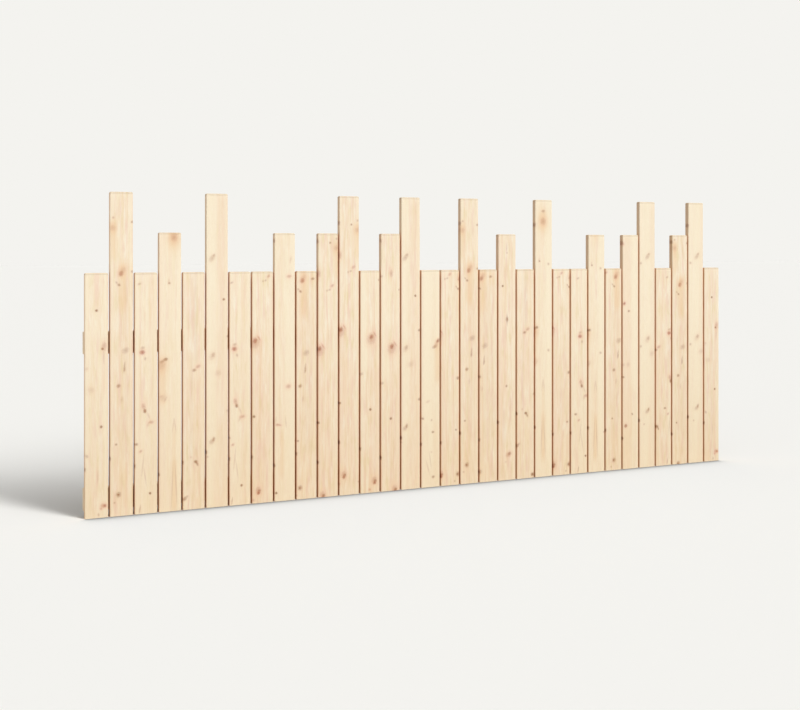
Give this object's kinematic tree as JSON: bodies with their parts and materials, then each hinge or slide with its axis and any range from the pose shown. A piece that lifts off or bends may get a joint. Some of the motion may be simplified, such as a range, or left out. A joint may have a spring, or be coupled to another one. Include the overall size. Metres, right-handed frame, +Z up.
{
  "type": "slatted headboard",
  "caption": "Wide pine headboard of upright boards in staggered heights with narrow gaps, fixed in front of flat horizontal rails that hook onto the wall.",
  "frame": {"origin": "on the floor, in the middle of the width and of the depth", "axes": "+X along the width to the right as seen from the bed, -Y the front that faces the bed, +Y towards the wall, +Z up"},
  "size_m": [1.916, 0.04, 0.8],
  "materials": {
    "pine": "planed pine, unvarnished, with knots",
    "staple_wire": "galvanised wire"
  },
  "bodies": {
    "root": {"board_01": "pine", "board_02": "pine", "board_03": "pine", "board_04": "pine", "board_05": "pine", "board_06": "pine", "board_07": "pine", "board_08": "pine", "board_09": "pine", "board_10": "pine", "board_11": "pine", "board_12": "pine", "board_13": "pine", "board_14": "pine", "board_15": "pine", "board_16": "pine", "board_17": "pine", "board_18": "pine", "board_19": "pine", "board_20": "pine", "board_21": "pine", "board_22": "pine", "board_23": "pine", "board_24": "pine", "board_25": "pine", "board_26": "pine", "board_27": "pine", "board_28": "pine", "board_29": "pine", "board_30": "pine", "board_31": "pine", "board_32": "pine", "lower_rail": "pine", "lower_rail_staples": "staple_wire", "upper_rail": "pine", "upper_rail_staples": "staple_wire"}
  },
  "joints": []
}
